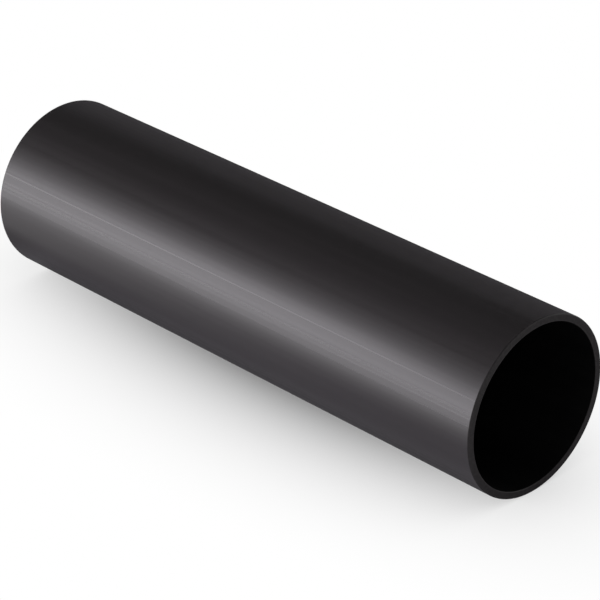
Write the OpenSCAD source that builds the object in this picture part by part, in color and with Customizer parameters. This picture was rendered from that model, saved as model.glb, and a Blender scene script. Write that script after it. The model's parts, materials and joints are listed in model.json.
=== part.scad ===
// Plain-ended drain pipe in black high-density polyethylene, one sawn length.
// The wall is extruded as one piece, and both ends are cut square with their
// sharp edges scraped off. The pipe lies on its side: +X runs along it, +Z is
// up, and the origin is on the floor under the middle of its length.

/* [Pipe] */
// Outside diameter of the pipe
pipe_od = 110; // [50:1:315]
// Thickness of the wall
wall_t = 4.6; // [3:0.1:12]
// Length from one end face to the other
pipe_l = 400; // [150:10:6000]

/* [Cut ends] */
// Width of the edge scraped off the outer rim of each end
rim_break = 0.8; // [0.3:0.1:1.2]
// Width of the edge scraped off the mouth of the bore at each end
mouth_break = 0.5; // [0.3:0.1:1.2]

/* [Hidden] */
pipe_r = pipe_od / 2;
bore_r = pipe_r - wall_t;
half_l = pipe_l / 2;
$fn = 180;

// Outline of one cut end from the bore to the outer rim, as [distance from
// the axis, place along it]; side is 1 or -1 for the end that it is at.
function end_outline(side) = [
    [bore_r, side * (half_l - mouth_break)],
    [bore_r + mouth_break, side * half_l],
    [pipe_r - rim_break, side * half_l],
    [pipe_r, side * (half_l - rim_break)]
];

function reversed(list) = [for (i = [len(list) - 1 : -1 : 0]) list[i]];

// The wall's lengthwise section, on one side of the axis.
module wall_section() {
    polygon(concat(end_outline(1), reversed(end_outline(-1))));
}

// The section turned about the pipe's axis and laid down along X, so that the
// outer surface touches the floor along one line.
module pipe() {
    color([0.13, 0.13, 0.14])
        translate([0, 0, pipe_r])
            rotate([0, 90, 0])
                rotate_extrude()
                    wall_section();
}

pipe();
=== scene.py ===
"""Dresses a sawn length of black polyethylene drain pipe and sets it in a studio.

The wall is spun from its lengthwise section and keeps the marks of its making:
the die lines that run along the skin, the planed ring at each cut and the rims
that had their sharp edges scraped off. Lengths are in metres and bearings in
degrees. +X runs along the pipe, +Z is up, and the origin is on the floor under
the middle of the pipe's length.
"""

import json
import logging
import math
import random
from collections.abc import Iterable, Sequence
from dataclasses import dataclass, field
from enum import Enum

import bmesh
import bpy
from mathutils import Matrix, Vector


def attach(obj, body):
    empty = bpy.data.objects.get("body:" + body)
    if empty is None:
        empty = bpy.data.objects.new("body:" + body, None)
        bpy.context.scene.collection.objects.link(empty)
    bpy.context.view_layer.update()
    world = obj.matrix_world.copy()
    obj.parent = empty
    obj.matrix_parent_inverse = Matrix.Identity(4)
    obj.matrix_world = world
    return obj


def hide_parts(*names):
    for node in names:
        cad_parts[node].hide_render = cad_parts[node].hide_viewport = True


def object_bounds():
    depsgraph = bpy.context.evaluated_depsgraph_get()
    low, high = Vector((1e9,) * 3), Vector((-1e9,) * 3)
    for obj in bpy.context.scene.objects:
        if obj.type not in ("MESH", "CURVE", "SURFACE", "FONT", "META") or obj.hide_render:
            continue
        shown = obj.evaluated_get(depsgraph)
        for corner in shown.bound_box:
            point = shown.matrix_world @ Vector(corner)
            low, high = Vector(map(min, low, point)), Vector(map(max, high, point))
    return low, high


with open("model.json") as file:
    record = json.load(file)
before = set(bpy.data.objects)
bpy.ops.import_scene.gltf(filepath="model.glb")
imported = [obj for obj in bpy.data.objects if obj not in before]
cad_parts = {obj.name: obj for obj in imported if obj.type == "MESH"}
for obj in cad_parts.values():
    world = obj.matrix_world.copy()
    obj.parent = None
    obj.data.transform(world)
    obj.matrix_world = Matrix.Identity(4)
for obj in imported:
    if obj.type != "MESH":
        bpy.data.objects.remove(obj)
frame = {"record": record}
cad_low, cad_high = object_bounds()

MILLIMETRE = 0.001
MICRON = 0.000001
SENSOR_WIDTH = 36.0

# What the noise comes back to on average, as it swings from about 0.25 to 0.75.
NOISE_MIDDLE = 0.5

# 4 times ln 2. With it, the width of a bell curve is its width at half its height.
BELL = 2.77

# How many slow waves there are round a surface, each lower than the one before.
WAVE_TURNS = (5, 8, 13, 21)

# The attribute that holds how much smoother the die lines make each place.
POLISH = "polish"

# The map that the wall is unrolled onto, and the margin kept free at its sides.
MAP_NAME = "OFBake"
MAP_MARGIN = 0.002

# How much of a face's normal points along the pipe, at the least, on a cut and on a rim.
CUT_FACING = 0.995
RIM_FACING = 0.1

Colour = tuple[float, float, float]
Number = "Signal | float"

# Full white, and the pale grey of the floor and of the cards that pass into it.
WHITE: Colour = (1.0, 1.0, 1.0)
PALE: Colour = (0.9, 0.9, 0.9)

# The Y of the line behind the pipe where the cards on the floor meet.
CARD_SEAM = 0.10

log = logging.getLogger("drain_pipe")


class Face(Enum):
    """The kinds of surface that the wall has, each with the number of its material."""

    SKIN = 0
    BORE = 1
    CUT = 2
    RIM = 3


# ---------------------------------------------------------------------------
# Placing things
# ---------------------------------------------------------------------------


def put(name: str, data: bpy.types.ID) -> bpy.types.Object:
    """Puts something into the scene.

    Args:
        name: The object's name.
        data: The mesh, the lamp or the camera.

    Returns:
        The object.
    """
    item = bpy.data.objects.new(name, data)
    bpy.context.scene.collection.objects.link(item)
    return item


def put_facing(name: str, data: bpy.types.ID, place: Vector, facing: Vector) -> bpy.types.Object:
    """Puts a lamp or a camera at a place and turns it.

    Args:
        name: The object's name.
        data: The lamp or the camera.
        place: Where it goes.
        facing: The direction that it looks or shines in.

    Returns:
        The object.
    """
    item = put(name, data)
    item.location = place
    item.rotation_mode = "QUATERNION"
    item.rotation_quaternion = facing.to_track_quat("-Z", "Y")
    return item


def put_shape(
    name: str,
    shape: bmesh.types.BMesh,
    materials: Iterable[bpy.types.Material],
) -> bpy.types.Object:
    """Makes an object of a finished shape, which is then let go.

    Args:
        name: The name of the object and of its mesh.
        shape: The shape, with the number of its material on each face.
        materials: The materials, in the order of their numbers.

    Returns:
        The object, unturned at the origin.
    """
    mesh = bpy.data.meshes.new(name)
    shape.to_mesh(mesh)
    shape.free()
    for material in materials:
        mesh.materials.append(material)
    return put(name, mesh)


def corners_in(geometry: Iterable[object]) -> list[bmesh.types.BMVert]:
    """Returns only the corners out of what an operator has made."""
    return [item for item in geometry if isinstance(item, bmesh.types.BMVert)]


# ---------------------------------------------------------------------------
# Shader maths
# ---------------------------------------------------------------------------


@dataclass(frozen=True)
class Signal:
    """One output of a shader's nodes, on which sums can be written."""

    shader: "Shader"
    socket: bpy.types.NodeSocket

    def __add__(self, other: Number) -> "Signal":
        """Returns this signal plus another."""
        return self.shader.maths("ADD", self, other)

    def __sub__(self, other: Number) -> "Signal":
        """Returns this signal less another."""
        return self.shader.maths("SUBTRACT", self, other)

    def __rsub__(self, other: float) -> "Signal":
        """Returns a number less this signal."""
        return self.shader.maths("SUBTRACT", other, self)

    def __mul__(self, other: Number) -> "Signal":
        """Returns this signal times another."""
        return self.shader.maths("MULTIPLY", self, other)

    __radd__ = __add__
    __rmul__ = __mul__


class Shader:
    """A material's or a world's node tree, with its nodes added one by one."""

    def __init__(self, owner: bpy.types.Material | bpy.types.World) -> None:
        """Empties the owner's node tree.

        Args:
            owner: The material or world whose look is to be made.
        """
        owner.use_nodes = True
        self.tree = owner.node_tree
        self.tree.nodes.clear()

    def node(
        self,
        kind: str,
        settings: dict[str, object] | None = None,
        **inputs: object,
    ) -> bpy.types.Node:
        """Adds a node, sets it up and feeds its sockets.

        Args:
            kind: The node's type, without the ShaderNode that it begins with.
            settings: The node's own properties, or a ramp's stops, which are set first.
            **inputs: A value or a Signal for each socket. A socket's name has _ for
                each space, and sockets that share a name go by in_ and their number.

        Returns:
            The new node.
        """
        node = self.tree.nodes.new("ShaderNode" + kind)
        for name, value in (settings or {}).items():
            if name == "stops":
                self.set_stops(node.color_ramp.elements, value)
            else:
                setattr(node, name, value)
        for name, value in inputs.items():
            if name.startswith("in_"):
                socket = node.inputs[int(name[3:])]
            else:
                socket = node.inputs[name.replace("_", " ")]
            if isinstance(value, Signal):
                self.tree.links.new(value.socket, socket)
            else:
                socket.default_value = value
        return node

    def set_stops(
        self,
        elements: bpy.types.ColorRampElements,
        stops: Sequence[tuple[float, Colour]],
    ) -> None:
        """Gives a new ramp its stops.

        Args:
            elements: The ramp's own two stops, at 0 and at 1.
            stops: Each stop's place from 0 to 1 and its colour, in rising order.
        """
        while len(elements) < len(stops):
            elements.new(0.5)
        for element, (place, colour) in zip(elements, stops):
            element.position = place
            element.color = (*colour, 1.0)

    def signal(self, node: bpy.types.Node, output: int | str = 0) -> Signal:
        """Returns one output of a node as a signal."""
        return Signal(self, node.outputs[output])

    def maths(self, operation: str, first: Number, second: Number = 0.0) -> Signal:
        """Returns the result of a sum on two numbers or signals."""
        return self.signal(self.node("Math", {"operation": operation}, in_0=first, in_1=second))

    def weigh(self, first: Signal, second: Signal, share: float) -> Signal:
        """Returns a mean of two signals, in which first counts for that share."""
        return first * share + second * (1.0 - share)

    def band(self, value: Signal, low: float, high: float) -> Signal:
        """Returns 0 where value is under low, 1 where it is over high, smooth between."""
        settings = {"interpolation_type": "SMOOTHSTEP"}
        return self.signal(
            self.node("MapRange", settings, Value=value, From_Min=low, From_Max=high)
        )

    def blend(self, share: Signal, first: Colour, second: Colour) -> Signal:
        """Mixes two colours.

        Args:
            share: How much of the second colour there is, from 0 to 1.
            first: The colour at 0.
            second: The colour at 1.

        Returns:
            The colour.
        """
        settings = {"data_type": "RGBA"}
        mix = self.node("Mix", settings, in_0=share, in_6=(*first, 1.0), in_7=(*second, 1.0))
        return self.signal(mix, 2)

    def ramp(self, value: Signal, stops: Sequence[tuple[float, Colour]]) -> Signal:
        """Returns the colour that a row of stops gives for value.

        Args:
            value: The signal to read.
            stops: Each stop's value and colour, in rising order, two at the least.

        Returns:
            The colour, which stays the same before the first stop and past the last.
        """
        first, last = stops[0][0], stops[-1][0]
        shares = [((place - first) / (last - first), colour) for place, colour in stops]
        share = self.signal(self.node("MapRange", Value=value, From_Min=first, From_Max=last))
        return self.signal(self.node("ValToRGB", {"stops": shares}, Fac=share))

    def stretched(self, centre: Vector, scale: Sequence[float]) -> Signal:
        """Returns the piece's own coordinates, moved to a centre and then scaled.

        Args:
            centre: The point that becomes the zero of the pattern.
            scale: How many pattern units a metre holds along each axis.

        Returns:
            The coordinates as a vector signal.
        """
        place = self.signal(self.node("TexCoord"), "Object")
        centred = self.node("Mapping", {"vector_type": "POINT"}, Vector=place, Location=-centre)
        settings = {"operation": "MULTIPLY"}
        scaled = self.node("VectorMath", settings, in_0=self.signal(centred), in_1=tuple(scale))
        return self.signal(scaled)

    def distance(self, coordinates: Signal) -> Signal:
        """Returns how far those coordinates are from their zero."""
        length = self.node("VectorMath", {"operation": "LENGTH"}, in_0=coordinates)
        return self.signal(length, "Value")

    def grain(self, coordinates: Signal, octaves: float) -> Signal:
        """Returns noise at those coordinates, with that many finer octaves added."""
        return self.signal(
            self.node("TexNoise", Vector=coordinates, Scale=1.0, Detail=octaves)
        )

    def relief(self, height: Signal, depth: float) -> Signal:
        """Returns a normal bent by a height from 0 to 1 that stands for depth metres."""
        return self.signal(self.node("Bump", Strength=1.0, Distance=depth, Height=height))

    def attribute(self, name: str) -> Signal:
        """Returns a number that the mesh holds at each of its corners."""
        settings = {"attribute_type": "GEOMETRY", "attribute_name": name}
        return self.signal(self.node("Attribute", settings), "Fac")

    def looked_at(self) -> Signal:
        """Tells the rays that look at the room from those that carry its light.

        Returns:
            1 on rays that see it, straight or by a shine or glass, and 0 on the rest.
        """
        path = self.node("LightPath")
        straight, shine, glass = (
            self.signal(path, name)
            for name in ("Is Camera Ray", "Is Glossy Ray", "Is Transmission Ray")
        )
        return self.maths("MAXIMUM", self.maths("MAXIMUM", straight, shine), glass)

    def plastic(self, **inputs: object) -> None:
        """Ends the tree in a principled surface with those sockets set."""
        self.end(self.signal(self.node("BsdfPrincipled", **inputs)))

    def end(self, surface: Signal) -> None:
        """Ends a material's tree in that surface."""
        self.node("OutputMaterial", Surface=surface)


# ---------------------------------------------------------------------------
# Finishes
# ---------------------------------------------------------------------------


@dataclass(frozen=True)
class DrawnFinish:
    """Polyethylene as it leaves the die: fine streaks drawn out along the pipe.

    Attributes:
        name: The material's name.
        deep: The colour between the streaks.
        pale: The colour of the palest streaks.
        roughness: The middle roughness.
        roughness_spread: How much the broad streaks sway the roughness.
        streak_width: The width of the finest streaks.
        streak_length: How far a streak runs before it fades.
        streak_depth: The depth of the finest streaks.
        specular: How strongly the surface shines when seen straight on.
        shine: The colour of that shine.
        broad_ratio: How many times wider the broad streaks are than the finest.
        fine_share: How much of the colour's pattern is the finest streaks.
        fine_sway: How many times more the finest streaks sway the roughness.
        pale_from: Where in its pattern the colour begins to turn pale.
        pale_to: Where it is palest.
    """

    name: str
    deep: Colour
    pale: Colour
    roughness: float
    roughness_spread: float
    streak_width: float
    streak_length: float
    streak_depth: float
    specular: float
    shine: Colour
    broad_ratio: float = 9.0
    fine_share: float = 0.4
    fine_sway: float = 3.0
    pale_from: float = 0.38
    pale_to: float = 0.66

    def streaks(self, shader: Shader, axis: Vector, width: float, octaves: float) -> Signal:
        """Draws noise out along the pipe.

        Args:
            shader: The material's nodes.
            axis: A point on the pipe's axis.
            width: How wide a streak is.
            octaves: How many finer octaves lie over the streaks.

        Returns:
            The streaks as a signal.
        """
        along = 1.0 / self.streak_length
        across = 1.0 / width
        return shader.grain(shader.stretched(axis, (along, across, across)), octaves)

    def material(self, axis: Vector) -> bpy.types.Material:
        """Makes the material.

        Args:
            axis: A point on the pipe's axis.

        Returns:
            The finished material.
        """
        material = bpy.data.materials.new(self.name)
        shader = Shader(material)
        broad_width = self.streak_width * self.broad_ratio
        fine = self.streaks(shader, axis, self.streak_width, octaves=2.0)
        broad = self.streaks(shader, axis, broad_width, octaves=3.0)
        pattern = shader.weigh(fine, broad, self.fine_share)
        paleness = shader.band(pattern, self.pale_from, self.pale_to)
        fine_gloss = (fine - NOISE_MIDDLE) * (self.fine_sway * self.roughness_spread)
        broad_gloss = (broad - NOISE_MIDDLE) * self.roughness_spread
        polish = shader.attribute(POLISH) * (broad + NOISE_MIDDLE)
        shader.plastic(
            Base_Color=shader.blend(paleness, self.deep, self.pale),
            Roughness=fine_gloss + broad_gloss + self.roughness - polish,
            Specular_IOR_Level=self.specular,
            Specular_Tint=(*self.shine, 1.0),
            Normal=shader.relief(fine, self.streak_depth),
        )
        return material


@dataclass(frozen=True)
class PlanedFinish:
    """Polyethylene where the end was trimmed: fine turning marks round the ring.

    Attributes:
        name: The material's name.
        deep: The colour in the bottom of the marks.
        pale: The colour on the raised fur between them.
        roughness: The middle roughness.
        mark_pitch: The distance from one mark to the next.
        mark_depth: The depth of the marks.
        specular: How strongly the surface shines when seen straight on.
        wander: How far the marks stray from a true ring, in radians of their wave.
        wander_grain: How many times a metre they stray.
        fur_grain: How many tufts of the fur a metre holds.
        mottle_grain: How many patches of the mottled colour a metre holds.
        mark_share: How much of the height is marks, where the rest is fur.
        mottle_share: How much of the colour's pattern is mottle, where the rest is height.
        roughness_spread: How much the fur sways the roughness.
        pale_from: Where in its pattern the colour begins to turn pale.
        pale_to: Where it is palest.
    """

    name: str
    deep: Colour
    pale: Colour
    roughness: float
    mark_pitch: float
    mark_depth: float
    specular: float
    wander: float = 7.0
    wander_grain: float = 90.0
    fur_grain: float = 2600.0
    mottle_grain: float = 600.0
    mark_share: float = 0.6
    mottle_share: float = 0.6
    roughness_spread: float = 0.25
    pale_from: float = 0.3
    pale_to: float = 0.7

    def speckle(self, shader: Shader, axis: Vector, grain: float, octaves: float) -> Signal:
        """Scatters noise evenly over the cut.

        Args:
            shader: The material's nodes.
            axis: A point on the pipe's axis.
            grain: How many specks a metre holds.
            octaves: How many finer octaves lie over them.

        Returns:
            The specks as a signal.
        """
        return shader.grain(shader.stretched(axis, (grain, grain, grain)), octaves)

    def material(self, axis: Vector) -> bpy.types.Material:
        """Makes the material.

        Args:
            axis: A point on the pipe's axis.

        Returns:
            The finished material.
        """
        material = bpy.data.materials.new(self.name)
        shader = Shader(material)
        radius = shader.distance(shader.stretched(axis, (0.0, 1.0, 1.0)))
        straying = self.speckle(shader, axis, self.wander_grain, octaves=2.0) * self.wander
        turns = radius * (math.tau / self.mark_pitch) + straying
        marks = shader.maths("SINE", turns) * 0.5 + 0.5
        fur = self.speckle(shader, axis, self.fur_grain, octaves=2.0)
        mottle = self.speckle(shader, axis, self.mottle_grain, octaves=1.0)
        height = shader.weigh(marks, fur, self.mark_share)
        pattern = shader.weigh(mottle, height, self.mottle_share)
        paleness = shader.band(pattern, self.pale_from, self.pale_to)
        shader.plastic(
            Base_Color=shader.blend(paleness, self.deep, self.pale),
            Roughness=(fur - NOISE_MIDDLE) * self.roughness_spread + self.roughness,
            Specular_IOR_Level=self.specular,
            Normal=shader.relief(height, self.mark_depth),
        )
        return material


# ---------------------------------------------------------------------------
# The wall
# ---------------------------------------------------------------------------


@dataclass(frozen=True)
class DieLine:
    """One ridge or groove that the die leaves along the whole pipe.

    Attributes:
        bearing: Where it runs, in degrees round the axis from the level on the front.
        width: How wide it is, between the points at half its height.
        height: How far it stands out. Under zero, it is a groove.
        polish: How much smoother it is than the skin beside it.
    """

    bearing: float
    width: float
    height: float
    polish: float

    def share(self, bearing: float, radius: float) -> float:
        """Returns how much of this line there is at a place round the surface.

        Args:
            bearing: The place round the axis, in degrees.
            radius: The radius of the surface there.

        Returns:
            1 on the middle of the line, falling to 0 away from it.
        """
        apart = (bearing - self.bearing + 180.0) % 360.0 - 180.0
        across = math.radians(apart) * radius / self.width
        return math.exp(-BELL * across * across)


@dataclass(frozen=True)
class DieRelief:
    """All the die lines of one surface, with the slow waviness under them.

    Attributes:
        radius: The nominal radius of the surface.
        seed: The number that the scattered lines are drawn from.
        count: How many lines are scattered round the surface.
        widths: The narrowest and the widest of them.
        heights: The lowest and the highest of them.
        polish: The polish of the smoothest of them.
        wave_height: The height of the slow waviness.
        chosen: Lines whose places are set.
    """

    radius: float
    seed: int
    count: int
    widths: tuple[float, float]
    heights: tuple[float, float]
    polish: float
    wave_height: float
    chosen: tuple[DieLine, ...] = ()

    def lines(self) -> list[DieLine]:
        """Scatters lines round the surface.

        Returns:
            The chosen lines and then the scattered ones.
        """
        draw = random.Random(self.seed)
        scattered = [
            DieLine(
                bearing=draw.uniform(0.0, 360.0),
                width=draw.uniform(*self.widths),
                height=draw.choice((-1.0, 1.0)) * draw.uniform(*self.heights),
                polish=draw.uniform(0.0, self.polish),
            )
            for _ in range(self.count)
        ]
        return [*self.chosen, *scattered]

    def profile(self, steps: int) -> list[tuple[float, float]]:
        """Works out the surface at equal steps from the line on the floor, up the back.

        Args:
            steps: How many places there are in a full turn.

        Returns:
            The lift, never over zero, and the polish at each place.
        """
        draw = random.Random(self.seed + 1)
        waves = [(turns, draw.uniform(0.0, 360.0)) for turns in WAVE_TURNS]
        lines = self.lines()
        lifts = []
        polishes = []
        for step in range(steps):
            bearing = 270.0 - 360.0 * step / steps
            lift = self.wave_height * sum(
                math.sin(math.radians(turns * bearing + shift)) / turns for turns, shift in waves
            )
            polish = 0.0
            for line in lines:
                share = line.share(bearing, self.radius)
                lift += line.height * share
                polish += line.polish * share
            lifts.append(lift)
            polishes.append(polish)
        highest = max(lifts)
        return [(lift - highest, polish) for lift, polish in zip(lifts, polishes)]


@dataclass(frozen=True)
class MapBand:
    """A level band of the wall's map, which one surface is unrolled onto.

    Attributes:
        low: Its lower edge, as a share of the map's height.
        high: Its upper edge.
    """

    low: float
    high: float

    def at(self, share: float) -> float:
        """Returns the height on the map that lies that share of the way up the band."""
        return self.low + (self.high - self.low) * share


@dataclass
class PipeWall:
    """The wall of the pipe, spun from its section round the axis.

    Attributes:
        half_length: Half the length from end face to end face.
        outer_radius: The radius of the skin.
        bore_radius: The radius of the bore.
        rim_break: How wide the outer rim is scraped.
        mouth_break: How wide the mouth of the bore is scraped.
        skin_relief: The die lines of the skin.
        bore_relief: The die lines of the bore.
        finishes: The finish of each kind of surface.
        doublings: How many times the first arc is doubled to make the full turn.
        steps: How many flats the round has, a multiple of the number of arcs.
        lengths: How many pieces the skin is cut into along the pipe.
        rim_flats: How many flats round off each scraped edge.
        margin_share: How far from a scraped edge the flat surface beside it is held
            straight, as a share of mouth_break.
        seam: How near two corners have to be, to be joined where the arcs meet.
        name: The piece's name.
        axis: The middle of the pipe's axis, one radius above the floor.
    """

    half_length: float
    outer_radius: float
    bore_radius: float
    rim_break: float
    mouth_break: float
    skin_relief: DieRelief
    bore_relief: DieRelief
    finishes: dict[Face, DrawnFinish | PlanedFinish]
    doublings: int = 5
    steps: int = 1600
    lengths: int = 8
    rim_flats: int = 5
    margin_share: float = 0.3
    seam: float = 20.0 * MICRON
    name: str = "pipe_wall"
    axis: Vector = field(init=False)

    def __post_init__(self) -> None:
        """Puts the axis one radius above the floor."""
        self.axis = Vector((0.0, 0.0, self.outer_radius))

    @property
    def wall_thickness(self) -> float:
        """The wall's thickness."""
        return self.outer_radius - self.bore_radius

    @property
    def middle_radius(self) -> float:
        """The radius of the middle of the wall."""
        return 0.5 * (self.outer_radius + self.bore_radius)

    def section(self, wall: bmesh.types.BMesh) -> None:
        """Draws the wall's lengthwise section, at the line that rests on the floor.

        Args:
            wall: The empty mesh that takes the outline.
        """
        outer = -self.outer_radius
        inner = -self.bore_radius
        places = (
            (-self.half_length, outer),
            (self.half_length, outer),
            (self.half_length, inner),
            (-self.half_length, inner),
        )
        corners = [wall.verts.new(self.axis + Vector((x, 0.0, z))) for x, z in places]
        for here, there in zip(corners, corners[1:] + corners[:1]):
            wall.edges.new((here, there))
        for rim, width in ((corners[:2], self.rim_break), (corners[2:], self.mouth_break)):
            bmesh.ops.bevel(
                wall,
                geom=rim,
                offset=width,
                offset_type="OFFSET",
                affect="VERTICES",
                segments=self.rim_flats,
                profile=0.5,
                material=-1,
            )
        for edge in self.edges_over(wall, 0.5 * self.wall_thickness):
            self.hold_ends(edge)
        long_edges = self.edges_over(wall, self.half_length)
        bmesh.ops.subdivide_edges(wall, edges=long_edges, cuts=self.lengths - 1)

    def edges_over(self, wall: bmesh.types.BMesh, length: float) -> list[bmesh.types.BMEdge]:
        """Returns the edges of the section that are over that length."""
        return [edge for edge in wall.edges if edge.calc_length() > length]

    def hold_ends(self, edge: bmesh.types.BMEdge) -> None:
        """Splits an edge close to both its ends, so that shading bends only past there.

        Args:
            edge: A straight edge between two rounded corners.
        """
        margin = self.margin_share * self.mouth_break / edge.calc_length()
        first, second = edge.verts
        bmesh.utils.edge_split(edge, first, margin)
        rest = max(second.link_edges, key=lambda linked: linked.calc_length())
        bmesh.utils.edge_split(rest, second, margin / (1.0 - margin))

    def spin(self, wall: bmesh.types.BMesh) -> None:
        """Turns the section through a first arc, and doubles that until it closes.

        Args:
            wall: The mesh that holds the section.
        """
        arcs = 2**self.doublings
        bmesh.ops.spin(
            wall,
            geom=wall.verts[:] + wall.edges[:],
            cent=self.axis,
            axis=(1.0, 0.0, 0.0),
            angle=math.tau / arcs,
            steps=self.steps // arcs,
            use_merge=False,
        )
        for doubling in range(self.doublings):
            turn = Matrix.Rotation(math.tau / arcs * 2**doubling, 3, "X")
            copy = bmesh.ops.duplicate(wall, geom=wall.verts[:] + wall.edges[:] + wall.faces[:])
            verts = corners_in(copy["geom"])
            bmesh.ops.rotate(wall, cent=self.axis, matrix=turn, verts=verts)
        bmesh.ops.remove_doubles(wall, verts=wall.verts, dist=self.seam)
        bmesh.ops.recalc_face_normals(wall, faces=wall.faces)

    def spoke(self, place: Vector) -> Vector:
        """Returns the way from the axis straight out to a place."""
        return Vector((0.0, place.y, place.z - self.axis.z))

    def turn_of(self, place: Vector) -> float:
        """Returns the place's share of a turn from the line on the floor."""
        return math.atan2(place.y, self.axis.z - place.z) / math.tau % 1.0

    def press_die_lines(self, wall: bmesh.types.BMesh) -> None:
        """Moves the skin and the bore in and out by the die lines.

        Args:
            wall: The spun mesh.
        """
        skin = self.skin_relief.profile(self.steps)
        bore = self.bore_relief.profile(self.steps)
        polish = wall.verts.layers.float.new(POLISH)
        for vert in wall.verts:
            spoke = self.spoke(vert.co)
            step = round(self.turn_of(vert.co) * self.steps) % self.steps
            on_skin = 1.0 - (self.outer_radius - spoke.length) / self.rim_break
            on_bore = 1.0 - (spoke.length - self.bore_radius) / self.mouth_break
            skin_share = max(on_skin, 0.0)
            bore_share = max(on_bore, 0.0)
            lift = skin_share * skin[step][0] - bore_share * bore[step][0]
            vert.co += spoke.normalized() * lift
            vert[polish] = skin_share * skin[step][1] + bore_share * bore[step][1]

    def sort_faces(self, wall: bmesh.types.BMesh) -> None:
        """Gives each face the material of its kind of surface.

        Args:
            wall: The finished mesh.
        """
        for face in wall.faces:
            if abs(face.normal.x) > CUT_FACING:
                kind = Face.CUT
            elif abs(face.normal.x) > RIM_FACING:
                kind = Face.RIM
            elif self.spoke(face.calc_center_median()).length > self.middle_radius:
                kind = Face.SKIN
            else:
                kind = Face.BORE
            face.material_index = kind.value
            face.smooth = True

    def lay_out(self, wall: bmesh.types.BMesh) -> None:
        """Unrolls the surfaces onto a map of the piece's own, one band for each.

        Args:
            wall: The finished mesh.
        """
        layer = wall.loops.layers.uv.new(MAP_NAME)
        skin_band = MapBand(0.01, 0.49)
        bore_band = MapBand(0.51, 0.89)
        near_band = MapBand(0.905, 0.945)
        far_band = MapBand(0.955, 0.995)
        for face in wall.faces:
            kind = Face(face.material_index)
            centre = face.calc_center_median()
            if kind is Face.SKIN:
                band, share = skin_band, self.share_along
            elif kind is Face.BORE:
                band, share = bore_band, self.share_along
            else:
                band, share = near_band if centre.x > 0.0 else far_band, self.share_across
            for loop in face.loops:
                place = loop.vert.co
                turn = self.turn_of(place)
                turn += round(self.turn_of(centre) - turn)
                across = MAP_MARGIN + (1.0 - 2.0 * MAP_MARGIN) * turn
                loop[layer].uv = (across, band.at(share(place)))

    def share_along(self, place: Vector) -> float:
        """Returns how far along the pipe a place is, from 0 at one end to 1."""
        return 0.5 + 0.5 * place.x / self.half_length

    def share_across(self, place: Vector) -> float:
        """Returns how far across an end a place is, from the bore over the cut.

        Args:
            place: A point on the cut or on one of its two rims.

        Returns:
            A share, from 0 deep in the mouth to 1 far back on the skin.
        """
        from_middle = self.spoke(place).length - self.middle_radius
        round_corner = math.copysign(self.half_length - abs(place.x), from_middle)
        reach = 0.5 * self.wall_thickness + max(self.rim_break, self.mouth_break)
        return 0.5 + 0.5 * (from_middle + round_corner) / reach

    def build(self) -> bpy.types.Object:
        """Makes the wall and dresses it.

        Returns:
            The finished piece, riding on the frame in place of the plain solid.
        """
        wall = bmesh.new()
        self.section(wall)
        self.spin(wall)
        self.press_die_lines(wall)
        self.sort_faces(wall)
        self.lay_out(wall)
        materials = [self.finishes[kind].material(self.axis) for kind in Face]
        piece = put_shape(self.name, wall, materials)
        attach(piece, "root")
        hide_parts("pipe")
        return piece


# ---------------------------------------------------------------------------
# The studio
# ---------------------------------------------------------------------------


@dataclass(frozen=True)
class Strip:
    """A soft box, whose light comes from one flat rectangle.

    Attributes:
        name: The lamp's name.
        centre: Where its middle is.
        target: The point that it faces.
        length: How long it is, along the level.
        height: How tall it is.
        radiance: How bright its face is, where 1 is a white surface in plain light.
    """

    name: str
    centre: Vector
    target: Vector
    length: float
    height: float
    radiance: float

    def build(self) -> bpy.types.Object:
        """Hangs the lamp.

        Returns:
            The lamp's object, which the camera doesn't see.
        """
        lamp = bpy.data.lights.new(self.name, "AREA")
        lamp.shape = "RECTANGLE"
        lamp.size = self.length
        lamp.size_y = self.height
        lamp.energy = math.pi * self.radiance * self.length * self.height
        holder = put_facing(self.name, lamp, self.centre, self.target - self.centre)
        holder.visible_camera = False
        return holder


class Weave(Enum):
    """Whether a card's shade hides what is behind it or only tints it."""

    DENSE = "BsdfDiffuse"
    SHEER = "BsdfTransparent"


@dataclass(frozen=True)
class ShineCard:
    """A bent card that shows only in the pipe's shine, and darkens it.

    Attributes:
        name: The card's name.
        left: Its end towards -X.
        right: Its end towards +X.
        bends: The Y and Z of each line that it is bent along, edges included.
        shades: The X and the colour of each place that its shade passes through.
        weave: What its shade does to what is behind it.
    """

    name: str
    left: float
    right: float
    bends: tuple[tuple[float, float], ...]
    shades: tuple[tuple[float, Colour], ...]
    weave: Weave = Weave.DENSE

    def sheet(self) -> bmesh.types.BMesh:
        """Draws the card's left end and pulls it out to the right.

        Returns:
            The bent sheet.
        """
        sheet = bmesh.new()
        corners = [sheet.verts.new((self.left, y, z)) for y, z in self.bends]
        for here, there in zip(corners, corners[1:]):
            sheet.edges.new((here, there))
        pulled = bmesh.ops.extrude_edge_only(sheet, edges=sheet.edges[:])
        width = Vector((self.right - self.left, 0.0, 0.0))
        bmesh.ops.translate(sheet, verts=corners_in(pulled["geom"]), vec=width)
        return sheet

    def material(self) -> bpy.types.Material:
        """Makes the material.

        Returns:
            A material without shine, shaded along the pipe.
        """
        material = bpy.data.materials.new(self.name)
        shader = Shader(material)
        place = shader.node("SeparateXYZ", Vector=shader.stretched(Vector(), (1.0, 1.0, 1.0)))
        colour = shader.ramp(shader.signal(place, "X"), self.shades)
        shader.end(shader.signal(shader.node(self.weave.value, Color=colour)))
        return material

    def build(self) -> bpy.types.Object:
        """Hangs the card.

        Returns:
            The card, which neither the camera nor the plain light meets.
        """
        card = put_shape(self.name, self.sheet(), [self.material()])
        card.visible_camera = False
        card.visible_diffuse = False
        card.visible_transmission = False
        card.visible_shadow = False
        return card


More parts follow.
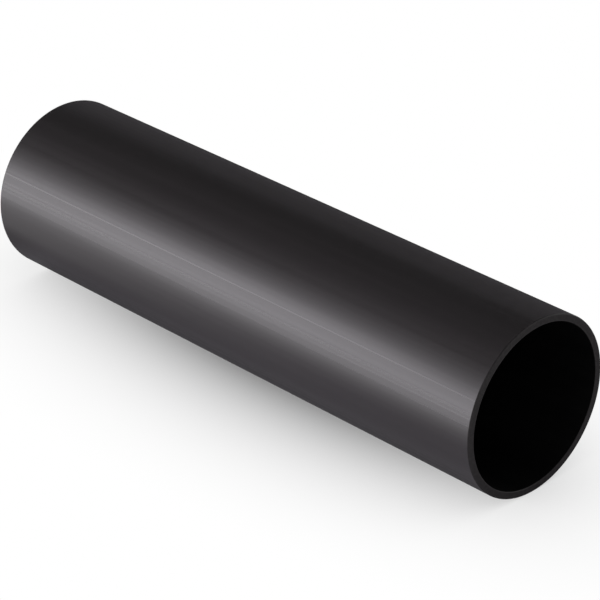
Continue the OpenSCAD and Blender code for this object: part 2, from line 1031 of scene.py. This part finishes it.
@dataclass(frozen=True)
class Studio:
    """The pale floor, the white room round it, the soft light and the cards.

    Attributes:
        floor_radius: How far the floor reaches.
        floor_sides: How many sides its disc has.
        floor_shade: The floor's colour.
        fade_distance: How far out from under the pipe the floor has faded into white.
        fade_along: How much of a way along the pipe counts in that distance.
        room_light: How bright the room is as light on the object.
        strips: The soft boxes.
        cards: The cards.
    """

    floor_radius: float
    floor_sides: int
    floor_shade: Colour
    fade_distance: float
    fade_along: float
    room_light: float
    strips: tuple[Strip, ...]
    cards: tuple[ShineCard, ...]

    def floor_material(self) -> bpy.types.Material:
        """Makes the floor's material.

        Returns:
            A matt material, which holds the shadow by the pipe and looks white away
            from it.
        """
        material = bpy.data.materials.new("pale_floor")
        shader = Shader(material)
        matt = shader.signal(shader.node("BsdfDiffuse", Color=(*self.floor_shade, 1.0)))
        white = shader.signal(shader.node("Emission", Color=(*WHITE, 1.0)))
        away = shader.distance(shader.stretched(Vector(), (self.fade_along, 1.0, 1.0)))
        faded = shader.band(away, 0.0, self.fade_distance) * shader.looked_at()
        shader.end(shader.signal(shader.node("MixShader", in_0=faded, in_1=matt, in_2=white)))
        return material

    def lay_floor(self) -> bpy.types.Object:
        """Lays the floor.

        Returns:
            The floor.
        """
        disc = bmesh.new()
        bmesh.ops.create_circle(
            disc, cap_ends=True, segments=self.floor_sides, radius=self.floor_radius
        )
        floor = put_shape("floor", disc, [self.floor_material()])
        return floor

    def fill_room(self) -> None:
        """Surrounds the set with a room that looks white and lights it softly."""
        world = bpy.data.worlds.new("studio_room")
        bpy.context.scene.world = world
        shader = Shader(world)
        strength = shader.looked_at() * (1.0 - self.room_light) + self.room_light
        room = shader.node("Background", Color=(*WHITE, 1.0), Strength=strength)
        shader.node("OutputWorld", Surface=shader.signal(room))

    def build(self) -> list[bpy.types.Object]:
        """Makes the room and what stands in it, and returns the floor, lamps and cards."""
        self.fill_room()
        return [self.lay_floor(), *(part.build() for part in (*self.strips, *self.cards))]


@dataclass(frozen=True)
class Viewpoint:
    """The place that the pipe is looked at from.

    Attributes:
        aim: The point in the middle of the view.
        azimuth: How far round from the front it is, towards +X.
        elevation: How high above the level it is.
        distance: How far from the aim it is.
        lens: The focal length, in millimetres on a sensor of SENSOR_WIDTH.
    """

    aim: Vector
    azimuth: float
    elevation: float
    distance: float
    lens: float

    def build(self) -> bpy.types.Object:
        """Sets up the camera.

        Returns:
            The camera, which the scene then looks through.
        """
        turn = math.radians(self.azimuth)
        rise = math.radians(self.elevation)
        back = Vector(
            (math.sin(turn) * math.cos(rise), -math.cos(turn) * math.cos(rise), math.sin(rise))
        )
        lens = bpy.data.cameras.new("camera")
        lens.lens = self.lens
        lens.sensor_width = SENSOR_WIDTH
        camera = put_facing("camera", lens, self.aim + back * self.distance, -back)
        bpy.context.scene.camera = camera
        return camera


# ---------------------------------------------------------------------------
# The job
# ---------------------------------------------------------------------------


def mount_size(name: str, size: str) -> float:
    """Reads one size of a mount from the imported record.

    Args:
        name: The mount's name.
        size: The size's name, which ends in _mm.

    Returns:
        The size in metres.
    """
    mounts = {mount["name"]: mount for mount in frame["record"]["mounts"]}
    return mounts[name]["dims"][size] * MILLIMETRE


def choose_finishes() -> dict[Face, DrawnFinish | PlanedFinish]:
    """Chooses how the plastic looks on each kind of surface, with painted shade in the bore's
    colour.

    Returns:
        The finish of each kind.
    """
    skin = DrawnFinish(
        name="drawn_skin",
        deep=(0.0105, 0.0091, 0.0096),
        pale=(0.0131, 0.0114, 0.0120),
        roughness=0.36,
        roughness_spread=0.042,
        streak_width=0.7 * MILLIMETRE,
        streak_length=0.4,
        streak_depth=1.5 * MICRON,
        specular=0.5,
        shine=(1.0, 0.955, 1.02),
    )
    # The bore is the same plastic as the skin, but its colour is set far darker: painted shade
    # inside the bore.
    bore = DrawnFinish(
        name="drawn_bore_painted_shade",
        deep=(0.0015, 0.0015, 0.0016),
        pale=(0.0023, 0.0023, 0.0024),
        roughness=0.55,
        roughness_spread=0.02,
        streak_width=1.1 * MILLIMETRE,
        streak_length=0.3,
        streak_depth=3.0 * MICRON,
        specular=0.06,
        shine=WHITE,
    )
    cut = PlanedFinish(
        name="planed_end",
        deep=(0.0080, 0.0070, 0.0075),
        pale=(0.0182, 0.0159, 0.0169),
        roughness=0.6,
        mark_pitch=0.35 * MILLIMETRE,
        mark_depth=6.0 * MICRON,
        specular=0.10,
    )
    rim = PlanedFinish(
        name="scraped_rim",
        deep=(0.0078, 0.0068, 0.0073),
        pale=(0.0164, 0.0144, 0.0153),
        roughness=0.5,
        mark_pitch=0.22 * MILLIMETRE,
        mark_depth=4.0 * MICRON,
        specular=0.15,
    )
    return {Face.SKIN: skin, Face.BORE: bore, Face.CUT: cut, Face.RIM: rim}


def skin_die_lines(radius: float) -> DieRelief:
    """Chooses the die lines of the skin.

    Args:
        radius: The radius of the skin.

    Returns:
        The strong lines on the front and the fine ones all round.
    """
    strong_lines = (
        DieLine(bearing=25.2, width=0.7 * MILLIMETRE, height=2.0 * MICRON, polish=0.115),
        DieLine(bearing=19.2, width=1.1 * MILLIMETRE, height=2.0 * MICRON, polish=0.06),
        DieLine(bearing=16.8, width=1.2 * MILLIMETRE, height=2.0 * MICRON, polish=0.17),
        DieLine(bearing=14.4, width=1.2 * MILLIMETRE, height=3.0 * MICRON, polish=0.095),
        DieLine(bearing=9.8, width=1.2 * MILLIMETRE, height=8.0 * MICRON, polish=0.075),
        DieLine(bearing=8.0, width=1.2 * MILLIMETRE, height=-5.0 * MICRON, polish=0.0),
        DieLine(bearing=-1.3, width=2.0 * MILLIMETRE, height=-9.0 * MICRON, polish=0.0),
    )
    return DieRelief(
        radius=radius,
        seed=110,
        count=90,
        widths=(0.4 * MILLIMETRE, 2.2 * MILLIMETRE),
        heights=(1.0 * MICRON, 4.0 * MICRON),
        polish=0.03,
        wave_height=12.0 * MICRON,
        chosen=strong_lines,
    )


def bore_die_lines(radius: float) -> DieRelief:
    """Chooses the die lines of the bore.

    Args:
        radius: The radius of the bore.

    Returns:
        The lines, which are broader and duller than those of the skin.
    """
    return DieRelief(
        radius=radius,
        seed=46,
        count=50,
        widths=(0.8 * MILLIMETRE, 4.0 * MILLIMETRE),
        heights=(2.0 * MICRON, 8.0 * MICRON),
        polish=0.02,
        wave_height=20.0 * MICRON,
    )


def make_wall() -> PipeWall:
    """Works out the wall's sizes from the frame.

    Returns:
        The wall, ready to be built.
    """
    length = cad_high.x - cad_low.x
    outer_radius = 0.5 * (cad_high.z - cad_low.z)
    bore_radius = mount_size("bore", "r_mm")
    return PipeWall(
        half_length=0.5 * length,
        outer_radius=outer_radius,
        bore_radius=bore_radius,
        rim_break=0.5 * (length - mount_size("outside", "length_mm")),
        mouth_break=0.5 * (length - mount_size("bore", "length_mm")),
        skin_relief=skin_die_lines(outer_radius),
        bore_relief=bore_die_lines(bore_radius),
        finishes=choose_finishes(),
    )


def choose_strips(axis: Vector) -> tuple[Strip, ...]:
    """Chooses the soft boxes.

    Args:
        axis: The middle of the pipe's axis, whose height the tall ones face.

    Returns:
        The key light at the front, the low one under it and the weaker one behind.
    """
    key = Strip(
        name="key_strip",
        centre=Vector((-0.85, -1.5, 0.39)),
        target=Vector((-0.85, 0.0, axis.z)),
        length=2.5,
        height=0.74,
        radiance=4.22,
    )
    low = Strip(
        name="low_strip",
        centre=Vector((-0.64, -0.805, 0.002)),
        target=Vector((-0.64, -0.805, 1.0)),
        length=1.50,
        height=1.17,
        radiance=3.15,
    )
    back = Strip(
        name="back_strip",
        centre=Vector((1.1, 1.5, 0.5)),
        target=Vector((0.2, 0.0, axis.z)),
        length=1.4,
        height=0.5,
        radiance=2.5,
    )
    return key, low, back


def choose_high_cards() -> tuple[ShineCard, ...]:
    """Chooses the cards overhead and behind.

    Returns:
        The cards that darken the top of the pipe and its back.
    """
    black = (0.03, 0.03, 0.03)
    dark = (0.100, 0.094, 0.100)
    reach = 2.2
    ceiling = 1.05
    ceiling_seam = -0.10
    front = ShineCard(
        name="front_card",
        left=-reach,
        right=reach,
        bends=((-0.70, 0.78), (-0.25, ceiling), (ceiling_seam, ceiling)),
        shades=((-0.95, black), (-0.60, (0.140, 0.130, 0.135))),
    )
    top = ShineCard(
        name="top_card",
        left=-reach,
        right=reach,
        bends=((ceiling_seam, ceiling), (0.30, ceiling), (0.80, 0.66)),
        shades=((-reach, black), (reach, black)),
    )
    rear_left = -1.2
    rear_right = 0.05
    rear_wall = 0.45
    lift = 0.001
    rear = ShineCard(
        name="rear_card",
        left=rear_left,
        right=rear_right,
        bends=((0.40, 0.37), (rear_wall, 0.20), (rear_wall, lift)),
        shades=((rear_left, dark), (rear_right, dark)),
    )
    rear_floor = ShineCard(
        name="rear_floor_card",
        left=rear_left,
        right=0.6,
        bends=((rear_wall, lift), (CARD_SEAM, lift)),
        shades=((rear_right, dark), (0.55, PALE)),
    )
    return front, top, rear, rear_floor


def choose_floor_cards(half_length: float) -> tuple[ShineCard, ...]:
    """Chooses the cards on the floor, by the pipe's foot.

    Args:
        half_length: Half the length of the pipe.

    Returns:
        The cards that darken the pipe's underside, each paler than the one behind it.
    """
    lift = 0.0005
    foot_seam = -0.042
    flank_seam = -0.074
    left = -0.9
    right = half_length + 0.035
    dark_to = -right
    pale_from = -half_length + 0.010
    pale_to = 0.100
    deepest = (0.190, 0.184, 0.200)
    under = ShineCard(
        name="under_card",
        left=left,
        right=right,
        bends=((CARD_SEAM, lift), (foot_seam, lift)),
        shades=(
            (dark_to, deepest),
            (pale_from, (0.308, 0.298, 0.326)),
            (pale_to, (0.367, 0.355, 0.384)),
        ),
    )
    floor = ShineCard(
        name="floor_card",
        left=left,
        right=right,
        bends=((foot_seam, lift), (flank_seam, lift)),
        shades=(
            (dark_to, deepest),
            (pale_from, (0.367, 0.353, 0.392)),
            (pale_to, (0.492, 0.475, 0.522)),
        ),
    )
    flank = ShineCard(
        name="flank_card",
        left=-0.35,
        right=right,
        bends=((flank_seam, lift), (-0.135, lift)),
        shades=((-0.30, PALE), (0.05, (0.51, 0.49, 0.54))),
    )
    return under, floor, flank


def choose_scrim(half_length: float) -> ShineCard:
    """Chooses the scrim that hangs before the pipe's right end.

    Args:
        half_length: Half the length of the pipe.

    Returns:
        The sheer card that lets the key light's shine fade towards that end.
    """
    return ShineCard(
        name="end_scrim",
        left=0.0,
        right=half_length + 0.06,
        bends=((-0.060, 0.190), (-0.115, 0.143), (-0.138, 0.100)),
        shades=(
            (half_length - 0.155, WHITE),
            (half_length - 0.100, (0.79, 0.79, 0.79)),
            (half_length - 0.050, (0.56, 0.56, 0.56)),
        ),
        weave=Weave.SHEER,
    )


def make_studio(wall: PipeWall) -> Studio:
    """Sets out the floor, the room, the lamps and the cards.

    Args:
        wall: The wall that they are set round.

    Returns:
        The studio, ready to be built.
    """
    half_length = wall.half_length
    floor_cards = choose_floor_cards(half_length)
    return Studio(
        floor_radius=12.0,
        floor_sides=96,
        floor_shade=PALE,
        fade_distance=0.16,
        fade_along=0.4,
        room_light=0.85,
        strips=choose_strips(wall.axis),
        cards=(*choose_high_cards(), *floor_cards, choose_scrim(half_length)),
    )


def main() -> None:
    """Builds the pipe, the studio and the view."""
    logging.basicConfig(level=logging.INFO, format="%(name)s: %(message)s")
    wall = make_wall()
    piece = wall.build()
    log.info("%s: %d faces", piece.name, len(piece.data.polygons))
    for item in make_studio(wall).build():
        log.info("%s: in place", item.name)
    view = Viewpoint(
        aim=Vector((0.0095, 0.0042, 0.0477)),
        azimuth=45.72,
        elevation=28.04,
        distance=1.664,
        lens=167.5,
    )
    log.info("%s: set", view.build().name)
    bpy.context.scene.view_settings.view_transform = "Standard"


if __name__ == "__main__":
    main()
